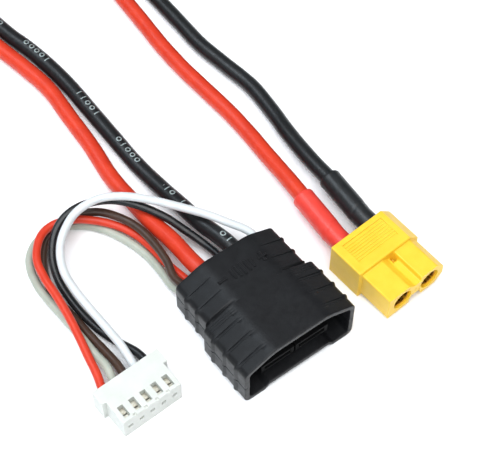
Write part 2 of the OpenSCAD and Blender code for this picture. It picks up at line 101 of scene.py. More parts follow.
def add_studio():
    """A light tent: bright overhead, darker towards the horizon, with three softboxes."""
    world = bpy.data.worlds.new("studio")
    world.use_nodes = True
    tree = world.node_tree
    place = tree.nodes.new("ShaderNodeTexCoord")
    split = tree.nodes.new("ShaderNodeSeparateXYZ")
    sky = tree.nodes.new("ShaderNodeValToRGB")
    stops = sky.color_ramp.elements
    for level, grey in zip(SKY_LEVELS, SKY_GREYS):
        stop = stops[0] if level == 0 else stops.new(level)
        stop.position = level
        stop.color = (grey * 0.95, grey * 0.98, grey, 1)
    stops.remove(stops[-1])
    tree.links.new(place.outputs["Generated"], split.inputs["Vector"])
    tree.links.new(split.outputs["Z"], sky.inputs["Fac"])
    tree.links.new(sky.outputs["Color"], tree.nodes["Background"].inputs["Color"])
    tree.nodes["Background"].inputs["Strength"].default_value = SKY_STRENGTH
    bpy.context.scene.world = world
    add_light("softbox_above", -20, 72, size=1.0, power=11.0, tint=(0.98, 0.99, 1.0))
    add_light("softbox_back_left", -150, 58, size=0.4, power=2.2, tint=(0.78, 0.9, 1.0))
    add_light("softbox_front_left", -80, 40, size=0.6, power=3.0, tint=(0.84, 0.93, 1.0))
    bpy.context.scene.view_settings.view_transform = "Standard"


add_camera()
add_studio()


# ---------------------------------------------------------------- node-based materials

def srgb(r, g, b):
    """Linear colour from the 0 to 255 values that a screen shows."""
    return tuple(((c / 255 + 0.055) / 1.055) ** 2.4 for c in (r, g, b)) + (1,)


class Shader:
    """A Principled material, with short calls for the procedural nodes that vary it."""

    def __init__(self, name, roughness=0.5, **sockets):
        self.material = bpy.data.materials.new(name)
        self.material.use_nodes = True
        self.tree = self.material.node_tree
        self.bsdf = self.tree.nodes["Principled BSDF"]
        self.bsdf.inputs["Roughness"].default_value = roughness
        for socket, value in sockets.items():
            self.bsdf.inputs[socket.replace("_", " ")].default_value = value
        self.place = self.node("ShaderNodeTexCoord").outputs["Object"]

    def node(self, kind, **settings):
        made = self.tree.nodes.new(kind)
        for key, value in settings.items():
            setattr(made, key, value)
        return made

    def link(self, source, target):
        self.tree.links.new(source, target)

    def stretched(self, scale):
        mapping = self.node("ShaderNodeMapping")
        mapping.inputs["Scale"].default_value = scale
        self.link(self.place, mapping.inputs["Vector"])
        return mapping.outputs["Vector"]

    def noise(self, scale, detail=4, roughness=0.55, where=None):
        made = self.node("ShaderNodeTexNoise")
        made.inputs["Scale"].default_value = scale
        made.inputs["Detail"].default_value = detail
        made.inputs["Roughness"].default_value = roughness
        self.link(where or self.place, made.inputs["Vector"])
        return made.outputs["Fac"]

    def ramp(self, source, low, high, at=(0.3, 0.7)):
        made = self.node("ShaderNodeValToRGB")
        first, last = made.color_ramp.elements
        first.position, last.position = at
        first.color, last.color = low, high
        self.link(source, made.inputs["Fac"])
        return made.outputs["Color"]

    def spread(self, source, low, high):
        """A texture's 0.3 to 0.7 spread over a range of values."""
        made = self.node("ShaderNodeMapRange")
        ends = {"From Min": 0.3, "From Max": 0.7, "To Min": low, "To Max": high}
        for socket, value in ends.items():
            made.inputs[socket].default_value = value
        self.link(source, made.inputs["Value"])
        return made.outputs["Result"]

    def mix(self, factor, first, second):
        made = self.node("ShaderNodeMix", data_type="RGBA")
        for socket, value in ((0, factor), (6, first), (7, second)):
            if isinstance(value, bpy.types.NodeSocket):
                self.link(value, made.inputs[socket])
            else:
                made.inputs[socket].default_value = value
        return made.outputs[2]

    def math(self, operation, first, second=0.0):
        made = self.node("ShaderNodeMath", operation=operation)
        for i, value in enumerate((first, second)):
            if isinstance(value, bpy.types.NodeSocket):
                self.link(value, made.inputs[i])
            else:
                made.inputs[i].default_value = value
        return made.outputs[0]

    def bump(self, source, strength, distance):
        """Adds a layer of relief over any that the material has already."""
        made = self.node("ShaderNodeBump")
        made.inputs["Strength"].default_value = strength
        made.inputs["Distance"].default_value = distance
        self.link(source, made.inputs["Height"])
        normal = self.bsdf.inputs["Normal"]
        if normal.is_linked:
            self.link(normal.links[0].from_socket, made.inputs["Normal"])
        self.link(made.outputs["Normal"], normal)

    def colour(self, source):
        self.link(source, self.bsdf.inputs["Base Color"])

    def rough(self, source):
        self.link(source, self.bsdf.inputs["Roughness"])


def black_nylon(name, dark, light, roughness, specular=0.26):
    """Moulded nylon: a fine spark-eroded grain, with faint flow marks and rubbed patches."""
    s = Shader(name, Specular_IOR_Level=specular)
    s.colour(s.ramp(s.noise(260, 6), dark, light))
    s.rough(s.spread(s.noise(900, 3), roughness - 0.06, roughness + 0.08))
    s.bump(s.noise(5200, 2), strength=0.35, distance=0.00006)
    s.bump(s.noise(700, 3), strength=0.15, distance=0.0001)
    return s.material


def silicone(name, colour, shade, roughness=0.42, marks=False):
    """Silicone rubber: soft sheen, slightly uneven colour and a little dust."""
    s = Shader(name, Specular_IOR_Level=0.45, Subsurface_Weight=0.06, Subsurface_Scale=0.0006)
    body = s.ramp(s.noise(350, 5), shade, colour)
    if marks:
        body = s.mix(print_marks(s), body, srgb(150, 160, 160))
    dust = s.ramp(s.noise(4200, 2, 0.7), (0, 0, 0, 1), (1, 1, 1, 1), (0.66, 0.8))
    s.colour(s.mix(s.math("MULTIPLY", dust, 0.12), body, srgb(200, 200, 196)))
    s.rough(s.spread(s.noise(1200, 4), roughness - 0.07, roughness + 0.1))
    s.bump(s.noise(1600, 4), strength=0.12, distance=0.0001)
    return s.material


def print_marks(s):
    """A row of plain strokes and rings along a lead, where a real one carries its printing."""
    cell, half_height, half_line, ring_radius = 0.0017, 0.0007, 0.00013, 0.00048
    group_length, group_share, perimeter = 0.017, 0.62, 0.011
    row_at, turns_from, turns_for, turn_rate = 0.23, 0.1, 0.04, 9

    def product(first, *others):
        for other in others:
            first = s.math("MULTIPLY", first, other)
        return first

    def within(value, limit):
        return s.math("LESS_THAN", s.math("ABSOLUTE", value), limit)

    split = s.node("ShaderNodeSeparateXYZ")
    s.link(s.node("ShaderNodeTexCoord").outputs["UV"], split.inputs["Vector"])
    along, around = split.outputs["X"], split.outputs["Y"]
    count = s.math("DIVIDE", along, cell)
    chance = s.math("FRACT", product(s.math("SINE", product(s.math("FLOOR", count), 12.99)), 437.6))
    turned = s.math("MAXIMUM", s.math("SUBTRACT", along, turns_from), 0)
    row = product(s.math("MINIMUM", turned, turns_for), turn_rate)
    u = product(s.math("SUBTRACT", s.math("FRACT", count), 0.5), cell)
    v = product(s.math("SUBTRACT", s.math("SUBTRACT", around, row), row_at), perimeter)
    radius = s.math("SQRT", s.math("ADD", s.math("POWER", u, 2), s.math("POWER", v, 2)))
    is_stroke, is_ring = s.math("LESS_THAN", chance, 0.4), s.math("GREATER_THAN", chance, 0.55)
    strokes = product(within(u, half_line), within(v, half_height), is_stroke)
    rings = product(within(s.math("SUBTRACT", radius, ring_radius), half_line), is_ring)
    in_group = s.math("FRACT", s.math("DIVIDE", along, group_length))
    group = s.math("LESS_THAN", in_group, group_share)
    worn = s.math("GREATER_THAN", s.noise(6000, 2), 0.4)
    return product(s.math("MAXIMUM", strokes, rings), group, worn)


def shrink_tube(name, colour, shade):
    """Heat-shrunk tube: glossier than the lead, with drawn lines along it."""
    s = Shader(name, Specular_IOR_Level=0.5, Subsurface_Weight=0.05, Subsurface_Scale=0.0006)
    s.colour(s.ramp(s.noise(420, 5), shade, colour))
    s.rough(s.spread(s.noise(900, 4), 0.3, 0.46))
    s.bump(s.noise(1500, 3, where=s.stretched((1, 0.12, 1))), strength=0.25, distance=0.00012)
    return s.material


def pale_nylon(name, colour, shade, scatter, roughness):
    """Bright moulded nylon that lets a little light through."""
    s = Shader(
        name, Specular_IOR_Level=0.45, Subsurface_Weight=0.25, Subsurface_Scale=0.0009,
        Subsurface_Radius=scatter,
    )
    s.colour(s.ramp(s.noise(300, 5), shade, colour))
    s.rough(s.spread(s.noise(1100, 4), roughness - 0.06, roughness + 0.08))
    s.bump(s.noise(4200, 2), strength=0.18, distance=0.00005)
    s.bump(s.noise(500, 2), strength=0.12, distance=0.0001)
    return s.material


def metal(name, colour, shade, roughness, metallic=1.0):
    """Drawn or plated metal: fine lines along the part and slight tarnish."""
    s = Shader(name, Metallic=metallic)
    s.colour(s.ramp(s.noise(900, 5), shade, colour))
    lines = s.noise(6000, 3, where=s.stretched((1, 0.06, 1)))
    s.rough(s.spread(lines, roughness - 0.08, roughness + 0.12))
    s.bump(lines, strength=0.15, distance=0.00004)
    return s.material


def strands(name):
    """Fine copper strands laid along the core."""
    s = Shader(name, Metallic=1.0, roughness=0.35)
    lines = s.noise(9000, 2, where=s.stretched((1, 0.03, 1)))
    s.colour(s.ramp(lines, srgb(120, 62, 34), srgb(226, 146, 96)))
    s.bump(lines, strength=0.6, distance=0.0001)
    return s.material


def floor_surface():
    s = Shader("floor_surface", roughness=0.6)
    s.colour(s.ramp(s.noise(8, 3), srgb(250, 250, 251), srgb(254, 254, 255)))
    return s.material


BLACK_RUBBER = srgb(22, 24, 26), srgb(14, 15, 17)
SURFACES = {
    "shell_black": black_nylon("black_nylon", srgb(18, 18, 20), srgb(24, 25, 27), 0.42),
    # The carrier is the shell's black nylon with a darker colour and less gloss: its darker colour
    # is painted shade for the inside of the mouth.
    "carrier_black": black_nylon("carrier_nylon_painted_shade", srgb(9, 9, 10), srgb(13, 13, 14), 0.6, 0.1),
    "contact_brass": metal("contact_brass", srgb(214, 176, 104), srgb(160, 120, 62), 0.32),
    "pin_gold": metal("pin_gold", srgb(232, 206, 132), srgb(190, 156, 84), 0.28),
    "copper_strand": strands("copper_strands"),
    "solder": metal("solder", srgb(206, 208, 212), srgb(150, 152, 158), 0.3),
    "silicone_red": silicone("silicone_red", srgb(206, 55, 26), srgb(194, 46, 20)),
    "silicone_black": silicone("silicone_black", *BLACK_RUBBER, 0.36, marks=True),
    "silicone_grey": silicone("silicone_grey", srgb(172, 176, 164), srgb(158, 163, 151)),
    "silicone_brown": silicone("silicone_brown", srgb(68, 46, 34), srgb(52, 35, 26), 0.38),
    "silicone_white": silicone("silicone_white", srgb(212, 216, 218), srgb(200, 205, 207)),
    "shrink_red": shrink_tube("shrink_red", srgb(222, 66, 54), srgb(210, 54, 44)),
    "shrink_black": shrink_tube("shrink_black", srgb(28, 30, 32), srgb(18, 19, 21)),
    "housing_yellow": pale_nylon(
        "yellow_nylon", srgb(238, 197, 54), srgb(231, 188, 42), (0.9, 0.7, 0.2), 0.4),
    "socket_gold": metal("socket_gold", srgb(240, 200, 106), srgb(196, 148, 62), 0.26),
    "housing_white": pale_nylon(
        "natural_nylon", srgb(209, 211, 206), srgb(200, 203, 197), (1.0, 1.0, 0.9), 0.42),
    "terminal_tin": metal(
        "terminal_tin", srgb(232, 229, 216), srgb(196, 190, 172), 0.4, metallic=0.5),
}


# ---------------------------------------------------------------- making and placing pieces

def new_piece(name, verts, faces, slot, replaced=(), smooth_angle=40):
    """A mesh piece in metres from millimetre points, with its record slot's surface."""
    mesh = bpy.data.meshes.new(name)
    mesh.from_pydata([tuple(c * MM for c in v) for v in verts], [], faces)
    piece = bpy.data.objects.new(name, mesh)
    bpy.context.scene.collection.objects.link(piece)
    finish_piece(piece, slot, replaced, smooth_angle)
    return piece


def finish_piece(piece, slot, replaced, smooth_angle):
    """Normals, shading and surface, and what the frame has to be told about the piece."""
    mesh = piece.data
    tidy = bmesh.new()
    tidy.from_mesh(mesh)
    bmesh.ops.recalc_face_normals(tidy, faces=tidy.faces)
    tidy.to_mesh(mesh)
    tidy.free()
    mesh.shade_smooth()
    mesh.set_sharp_from_angle(angle=math.radians(smooth_angle))
    mesh.materials.clear()
    mesh.materials.append(SURFACES[slot])
    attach(piece, "root")
    if replaced:
        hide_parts(*replaced)


# ---------------------------------------------------------------- the seven leads

LEAD_D = 3.5
BALANCE_D = 1.7
ROUTE_POSITIVE = [
    (-4, 8, 5), (-4, 12, 5), (-4.5, 17, 5), (-4.5, 23, 4.25), (-5, 30, 3.25), (-5, 37, 2.25),
    (-5, 45, 1.8), (-4, 54, 1.8), (-3.5, 63, 1.8), (-3, 72, 1.8), (-4, 80, 1.8), (-5.5, 88, 1.8),
    (-7, 97, 1.8), (-7.5, 107, 1.8), (-7.5, 118, 1.8), (-7, 129, 1.8), (-4.5, 139, 1.8),
    (0, 146, 1.8), (7, 150, 1.8), (14, 149.5, 1.8), (20, 145, 1.8), (23.5, 137.5, 1.8),
    (24.5, 128, 1.8), (25, 117, 1.8), (25, 106, 1.8), (25, 96, 1.8), (24.5, 86, 1.8),
    (24, 76, 1.8), (23.5, 68, 1.8), (23.5, 60, 1.8), (24, 52, 1.8), (24.5, 44, 1.8),
    (24.5, 37, 1.8), (24, 30, 2.25), (23.5, 23, 3), (23, 17, 3.5), (22.5, 11, 3.8), (22.2, 6, 4),
]
ROUTE_NEGATIVE = [
    (4, 8, 5), (4, 12, 5), (3.5, 17, 5), (2.5, 23, 4.25), (2, 30, 3.25), (1.5, 37, 2.25),
    (1, 45, 1.8), (1, 54, 1.8), (1, 63, 1.8), (1, 70, 1.8), (0.5, 77, 1.8), (-0.5, 84, 1.8),
    (-2, 91, 1.8), (-3, 99, 1.8), (-3.5, 108, 1.8), (-3.5, 118, 1.8), (-2.5, 128, 1.8),
    (1, 137.5, 2.5), (7, 144, 4), (14.5, 147, 5.5), (22, 146, 5.5), (28, 141, 4),
    (31, 133, 2.5), (32, 124, 1.8), (32, 114, 1.8), (31.5, 104, 1.8), (31, 95, 1.8),
    (30.5, 87, 1.8), (30.5, 79, 1.8), (30.5, 71, 1.8), (30.5, 63, 1.8), (31.5, 55, 1.8),
    (32.5, 47, 1.8), (32, 39, 1.8), (31, 32, 2.25), (30.2, 24, 3), (30, 17, 3.5),
    (29.7, 11, 3.8), (29.4, 6.5, 4),
]
ROUTE_WHITE = [
    (8.8, 8, 5.2), (8.8, 12, 5.2), (8.3, 15.5, 5.75), (6, 19, 6.5), (3.5, 22.5, 7.25),
    (0.5, 26, 8), (-3.5, 31, 8.25), (-7.5, 35, 8.5), (-12, 37.8, 8.25), (-17, 38.2, 7.5),
    (-21, 36.5, 6.5), (-24, 33.5, 5.75), (-25.8, 29.5, 5), (-26.2, 25, 4.5), (-26, 20, 4),
    (-25.7, 15, 3.75), (-25.5, 10, 3.5), (-25.7, 6, 3), (-25.9, 3, 2.9),
]
ROUTE_BLACK = [
    (1, 8, 3.3), (1, 12, 3.3), (1.3, 16, 2.75), (0.7, 20, 2.5), (-1, 24, 3.9), (-3, 28, 5.6),
    (-6, 33, 6.4), (-9.5, 37, 6.5), (-14, 39.3, 6.5), (-18.5, 39.7, 6), (-22.5, 38, 5),
    (-25.5, 34.5, 3.5), (-27, 30, 2.25), (-27.3, 25, 1.5), (-27, 20, 1.25), (-26.3, 16, 1.25),
    (-25.2, 12, 1.75), (-23.8, 8, 2.5), (-23.4, 5, 2.9), (-23.4, 3, 2.9),
]
ROUTE_BROWN = [
    (-8.8, 8, 5.2), (-8.8, 12, 5.2), (-9.2, 16, 4.5), (-8.2, 20, 4.5), (-7.8, 25, 4.25),
    (-8.2, 30, 4), (-9.7, 34.3, 3.75), (-12.2, 38.2, 3.25), (-15.5, 40.3, 2.75),
    (-20, 40.8, 2.6), (-24, 39.3, 2), (-27, 35.8, 1.5), (-28.8, 31.5, 1), (-29.2, 26.5, 1),
    (-28.8, 21, 1), (-28.6, 16.5, 1.4), (-28.3, 12, 2), (-28.1, 8, 2.5), (-28.3, 5, 2.9),
    (-28.4, 3, 2.9),
]
ROUTE_RED = [
    (-6.6, 8, 3.3), (-6.6, 12, 3.3), (-7.3, 16, 3), (-7.9, 20.5, 2.5), (-8.1, 25, 2.25),
    (-8.8, 29.7, 2), (-10.7, 33.7, 2.25), (-14, 37.2, 3), (-18, 39.5, 4), (-22, 40.4, 4.25),
    (-25.5, 39, 4.5), (-28.4, 35.3, 4.5), (-29.4, 31, 4.25), (-29.7, 26, 4.25), (-30.2, 21, 4),
    (-30.9, 16.5, 3.75), (-31.8, 11.5, 3.25), (-32.4, 8, 3), (-33.2, 5, 2.9), (-33.4, 3, 2.9),
]
ROUTE_GREY = [
    (-8.8, 8, 2.6), (-8.8, 12, 2.6), (-9.8, 16, 2), (-9.6, 20, 1.75), (-9.6, 25, 1.25),
    (-10.7, 30, 1), (-12.7, 34.8, 1), (-15.5, 38.5, 0.9), (-19.5, 40.9, 0.9), (-24.5, 41.2, 0.9),
    (-28, 39.2, 0.9), (-29.9, 36, 1), (-30.8, 31.5, 1.25), (-30.8, 27, 1.5), (-30.5, 22, 1.75),
    (-30.3, 17, 2), (-30.2, 12, 2.25), (-30, 8.5, 2.75), (-30.7, 5, 2.9), (-30.9, 3, 2.9),
]


def smooth_line(points, steps=10):
    """A Catmull-Rom curve through the points, with that many steps between each two."""
    p = np.array(points, float)
    p = np.vstack([2 * p[0] - p[1], p, 2 * p[-1] - p[-2]])
    line = []
    for i in range(1, len(p) - 2):
        a, b, c, d = p[i - 1 : i + 3]
        for t in np.arange(steps) / steps:
            line.append(0.5 * (
                2 * b + (c - a) * t + (2 * a - 5 * b + 4 * c - d) * t**2
                + (3 * b - a - 3 * c + d) * t**3
            ))
    return np.array(line + [p[-2]])


def frames_along(line):
    """Two side vectors at each point of a line, turned as little as they can be."""
    tangents = np.gradient(line, axis=0)
    tangents /= np.linalg.norm(tangents, axis=1)[:, None]
    up = np.cross(np.cross(tangents[0], (0, 0, 1)), tangents[0])
    ups = []
    for t in tangents:
        up = up - t * (up @ t)
        up /= np.linalg.norm(up)
        ups.append(up)
    ups = np.array(ups)
    return np.cross(tangents, ups), ups


def band(first, second, count):
    """Faces between two closed rings of count vertices, given each ring's first vertex."""
    steps = [(k, (k + 1) % count) for k in range(count)]
    return [(first + k, first + j, second + j, second + k) for k, j in steps]


def tube_mesh(line, radius_at, sides, caps=True):
    """Rings along a line; radius_at(mm along it, angle round it) gives the radius in mm."""
    across, ups = frames_along(line)
    lengths = np.concatenate([[0], np.cumsum(np.linalg.norm(np.diff(line, axis=0), axis=1))])
    verts, faces = [], []
    for i, centre in enumerate(line):
        for k in range(sides):
            a = 2 * math.pi * k / sides
            r = radius_at(lengths[i], a)
            verts.append(centre + r * (math.cos(a) * across[i] + math.sin(a) * ups[i]))
    for i in range(len(line) - 1):
        faces += band(i * sides, (i + 1) * sides, sides)
    if caps:
        faces.append(tuple(range(sides)))
        faces.append(tuple((len(line) - 1) * sides + k for k in range(sides)))
    return verts, faces, lengths


def add_tube_uv(piece, lengths, sides):
    """u is metres along the tube, v is the share of the way round it."""
    mesh = piece.data
    layer = mesh.uv_layers.new(name="along_and_around")
    for polygon in mesh.polygons:
        ks = [mesh.loops[i].vertex_index % sides for i in polygon.loop_indices]
        wraps = max(ks) - min(ks) > sides / 2
        for i, k in zip(polygon.loop_indices, ks):
            around = k / sides + (1 if wraps and k < sides / 2 else 0)
            layer.data[i].uv = (lengths[mesh.loops[i].vertex_index // sides] * MM, around)


def add_lead(name, route, diameter, slot, surface=None):
    """A lead's slightly uneven tube."""
    sides = 28 if diameter == LEAD_D else 20
    line = smooth_line(route)
    line[:, 2] = np.maximum(line[:, 2], diameter / 2)

    def radius_at(along, angle):
        swell = 0.006 * math.sin(along * 0.9) + 0.004 * math.sin(along * 0.37 + 2 * angle)
        return diameter / 2 * (0.99 + swell)

    verts, faces, lengths = tube_mesh(line, radius_at, sides)
    piece = new_piece(name + "_insulation", verts, faces, slot, [name])
    if surface:
        piece.data.materials[0] = surface
    add_tube_uv(piece, lengths, sides)


add_lead("lead_positive", ROUTE_POSITIVE, LEAD_D, "silicone_red")
add_lead("lead_negative", ROUTE_NEGATIVE, LEAD_D, "silicone_black")
add_lead("balance_lead_red", ROUTE_RED, BALANCE_D, "silicone_red")
add_lead("balance_lead_grey", ROUTE_GREY, BALANCE_D, "silicone_grey")
add_lead("balance_lead_brown", ROUTE_BROWN, BALANCE_D, "silicone_brown")
add_lead("balance_lead_white", ROUTE_WHITE, BALANCE_D, "silicone_white")
add_lead(
    "balance_lead_black", ROUTE_BLACK, BALANCE_D, "silicone_black",
    silicone("silicone_black_plain", *BLACK_RUBBER, 0.3))


# ---------------------------------------------------------------- the shrouded plug

PLUG_L = 24
PLUG_WALL = 1.1
PARTING_Z = 5.4
PARTING_GAP = 0.02
PARTING_CHAMFER = (0.14, 0.16)
STEP_Y = 1
STEP_EDGE_R = 0.12
CORNER_R = 1.6
SHOULDER = math.radians(24)
BLEND = 1.3
CORNER_FADE = 1.36
FRONT = {"half": 12.8, "flat": 6.4}
REAR = {"half": 11.5, "flat": 5.4}
MOUTH_TOP = 13.2
REAR_TOP = 11.28
RECESS = {"height": 1.0, "half": 7.0, "slope": 1.0}
RIBS = [8.9, 5.4, 1.9, -1.6, -5.2, -8.8]
RIB_SHAPE = [
    (-0.95, 0), (-0.85, 0.04), (-0.38, 0.31), (-0.28, 0.35), (-0.06, 0.35), (-0.01, 0.3), (0.03, 0),
]
PAD_L = 2.9
PAD_DEPTH = 0.13
LINE_AT = -0.45
LINE_SHAPE = [(-0.08, 0), (-0.03, 1), (0.02, 1), (0.06, 0)]
LINE_DEPTH = 0.16
FINE_LINES = [0.35, -0.2, -0.75, -2.65, -6.2, -9.8]
FINE_DEPTH = 0.07
VALLEY = [(0.99, 0), (1.02, 0.5), (1.6, 0.5), (1.85, 0.12), (2.0, 0)]
EDGE_R = 0.16


def shaped(y, at, shape):
    """Height at y of a small profile that is placed at one point."""
    return np.interp(y - at, [p[0] for p in shape], [p[1] for p in shape], left=0, right=0)


def rib(y):
    """Height at y of the side grips."""
    return max(shaped(y, r, RIB_SHAPE) for r in RIBS)


def shoulder_relief(y):
    """Depth at y on the shoulders: a shallow pad in front of each rib, and fine cross lines."""
    depth = 0
    for r in RIBS:
        start = r + LINE_AT
        if start - PAD_L < y <= start:
            depth = PAD_DEPTH * (y - start + PAD_L) / PAD_L
        depth = max(depth, LINE_DEPTH * shaped(y, start, LINE_SHAPE))
    return depth + max(FINE_DEPTH * shaped(y, line, LINE_SHAPE) for line in FINE_LINES)


def plateau_at(y):
    """Height of the raised middle: it falls evenly from the mouth to the rear face."""
    return MOUTH_TOP + (REAR_TOP - MOUTH_TOP) * (y + PLUG_L / 2) / PLUG_L


def section_at(y, step_y):
    """The front section's sizes up to the step, and the rear ones behind it."""
    share = min(max((y - step_y + 0.01) / 0.03, 0), 1)
    sizes = {k: FRONT[k] * (1 - share) + REAR[k] * share for k in FRONT}
    sizes["mid"] = plateau_at(y)
    return sizes


def wall_points(half, sign, end):
    """The side wall's part of a half outline, from the parting line's chamfer to height end."""
    start = PARTING_Z + sign * PARTING_CHAMFER[1]
    points = [(half - PARTING_CHAMFER[0], PARTING_Z + sign * PARTING_GAP, 0, 1)]
    return points + [(half, start + (end - start) * t, 1, 1) for t in (0, 0.35, 0.7, 1)]


def upper_profile(s, inset):
    """Half outline from the parting line up and in to the middle, as x, z and two shares.

    The shares say how much of the side grips and of the shoulders' relief a point takes.
    """
    half, r = s["half"] - inset, CORNER_R - inset / 2
    edge, mid = s["flat"] - inset * math.tan(SHOULDER / 2), s["mid"] - inset
    top = mid - (half - r - edge) * math.tan(SHOULDER) - r / math.cos(SHOULDER)
    points = wall_points(half, 1, top)
    for a in np.linspace(0, math.pi / 2 - SHOULDER, 8)[1:]:
        x, z = half - r + r * math.cos(a), top + r * math.sin(a)
        points.append((x, z, math.cos(CORNER_FADE * a), 1))
    foot = (half - r + r * math.sin(SHOULDER), top + r * math.cos(SHOULDER))
    for t in np.linspace(0, 1, 18)[1:]:
        x = foot[0] + (edge - BLEND - foot[0]) * t
        bend = (x - edge + BLEND) ** 2 / (4 * BLEND) if x < edge + BLEND else x - edge
        share = max(0, (x - edge) / (foot[0] - edge))
        points.append((x, mid - bend * math.tan(SHOULDER), 0, share))
    points += [((edge - BLEND) * t, mid, 0, 0) for t in (0.75, 0.5, 0.25, 0)]
    return points


def lower_profile(s, inset):
    """Half outline from the parting line down and in to the middle."""
    half, r = s["half"] - inset, CORNER_R - inset / 2
    points = wall_points(half, -1, inset + r)
    for a in np.radians([15, 30, 45, 60, 75, 90]):
        x, z = half - r + r * math.cos(a), inset + r - r * math.sin(a)
        points.append((x, z, math.cos(a) ** 3, 0))
    wide = RECESS["half"] + RECESS["slope"]
    rail = RECESS["half"] + RECESS["slope"] * np.array([1.15, 1, 0.85, 0.15, 0, -0.15])
    lift = RECESS["height"] * np.array([0, 0.06, 0.2, 0.8, 0.94, 1])
    points.append((wide + 0.8, inset, 0, 0))
    points += [(x, inset + z, 0, 0) for x, z in zip(rail, lift)]
    points += [(RECESS["half"] * t, inset + RECESS["height"], 0, 0) for t in (0.66, 0.33, 0)]
    return points


def shell_stations():
    """Places along the plug where its section changes."""
    end = PLUG_L / 2
    ys = [s * (end - d) for s in (-1, 1) for d in (0.001, 0.01, 0.04, 0.09, EDGE_R)]
    ys += list(np.arange(-11.5, 11.6, 0.9))
    ys += [STEP_Y + d for d in (-0.2, -0.1, -0.05, -0.01, 0.02)]
    ys += [STEP_Y - PLUG_WALL + d for d in (-0.01, 0.02)]
    ys += [y for y, _ in VALLEY]
    for r in RIBS:
        ys += [r + d for d, _ in RIB_SHAPE]
        ys += [r + LINE_AT + d for d, _ in LINE_SHAPE] + [r + LINE_AT - PAD_L]
    for line in FINE_LINES:
        ys += [line + d for d, _ in LINE_SHAPE]
    return sorted({round(y, 3) for y in ys if abs(y) < end})


def outward(points):
    """Unit normals of a half outline, pointing out of the plug."""
    p = np.array([q[:2] for q in points], float)
    t = np.gradient(p, axis=0)
    n = np.stack([t[:, 1], -t[:, 0]], axis=1)
    n /= np.maximum(np.linalg.norm(n, axis=1)[:, None], 1e-9)
    return n


def rounded_edge(distance, radius):
    """How far a rounded edge draws in, at a distance from the face that it ends at."""
    return radius * (1 - math.sqrt(max(0, 1 - max(0, 1 - distance / radius) ** 2)))


def shell_mesh(profile, sign):
    """Rings along Y: the outer outline from right to left, then the inner one back."""
    rings = []
    valley_ys, valley_depths = zip(*VALLEY)
    for y in shell_stations():
        lip = rounded_edge(PLUG_L / 2 - abs(y), EDGE_R)
        step_lip = rounded_edge(STEP_Y - y, STEP_EDGE_R) if y < STEP_Y else 0
        valley = np.interp(y, valley_ys, valley_depths)
        outer = profile(section_at(y, STEP_Y), 0)
        inner = profile(section_at(y, STEP_Y - PLUG_WALL), PLUG_WALL)
        n = outward(outer) * sign
        m = outward(inner) * sign
        ring, back = [], []
        for (x, z, wall, off), (nx, nz) in zip(outer, n):
            on_shoulder = off**0.5 * (1 - wall)
            out = wall * rib(y) - on_shoulder * shoulder_relief(y)
            out -= off * step_lip + off**0.7 * valley + lip
            ring.append((x + nx * out, z + nz * out))
        for (x, z, wall, off), (nx, nz) in zip(inner, m):
            back.append((x + nx * lip * 0.5, z + nz * lip * 0.5))
        ring += [(-x, z) for x, z in reversed(ring[:-1])]
        back += [(-x, z) for x, z in reversed(back[:-1])]
        rings.append([(x, y, z) for x, z in ring + back[::-1]])
    count = len(rings[0])
    verts = [p for ring in rings for p in ring]
    faces = []
    for i in range(len(rings) - 1):
        faces += band(i * count, (i + 1) * count, count)
    half = count // 2
    for base in (0, (len(rings) - 1) * count):
        for k in range(half - 1):
            faces.append((base + k, base + k + 1, base + count - 2 - k, base + count - 1 - k))
    return verts, faces


for part, profile, sign in (("upper", upper_profile, 1), ("lower", lower_profile, -1)):
    name, shell = f"plug_{part}_cover", f"plug_{part}_shell"
    new_piece(name, *shell_mesh(profile, sign), "shell_black", [shell], 28)


MARK_Y = 6.2
MARK_SIDE = 4.6
MARK_H = 0.2
MARK_SINK = 0.4
MARK_EDGE = 0.07
TICK_AT = (-2.2, -1.1, 0, 1.1, 2.2)


def slabs(boxes):
    """Closed raised slabs with drawn-in top edges; each box is x, y, half width, half length."""
    verts, faces = [], []
    for x, y, half_w, half_l in boxes:
        base = len(verts)
        for level, shrink in ((-MARK_SINK, 0), (MARK_H * 0.6, 0), (MARK_H, MARK_EDGE)):
            for sx, sy in ((-1, -1), (1, -1), (1, 1), (-1, 1)):
                at = y + sy * (half_l - shrink)
                verts.append((x + sx * (half_w - shrink), at, plateau_at(at) + level))
        faces += band(base, base + 4, 4) + band(base + 4, base + 8, 4)
        faces.append((base + 3, base + 2, base + 1, base))
        faces.append((base + 8, base + 9, base + 10, base + 11))
    return verts, faces


# Plain raised marks where the real plug has lettering: a minus, a plus and five ticks
MINUS = [(-MARK_SIDE, MARK_Y, 0.95, 0.3)]
PLUS = [(MARK_SIDE, MARK_Y, 1.0, 0.3)]
PLUS += [(MARK_SIDE, MARK_Y + side * 0.75, 0.3, 0.45) for side in (-1, 1)]
TICKS = [(x, MARK_Y, 0.24, 1.5 - 0.15 * abs(x)) for x in TICK_AT]
new_piece("plug_polarity_marks", *slabs(MINUS + PLUS + TICKS), "shell_black", (), 20)


# ---------------------------------------------------------------- housings with softened edges

WELD = 0.002
FLAT_ANGLE = math.radians(0.6)
SHARP_ANGLE = math.radians(25)


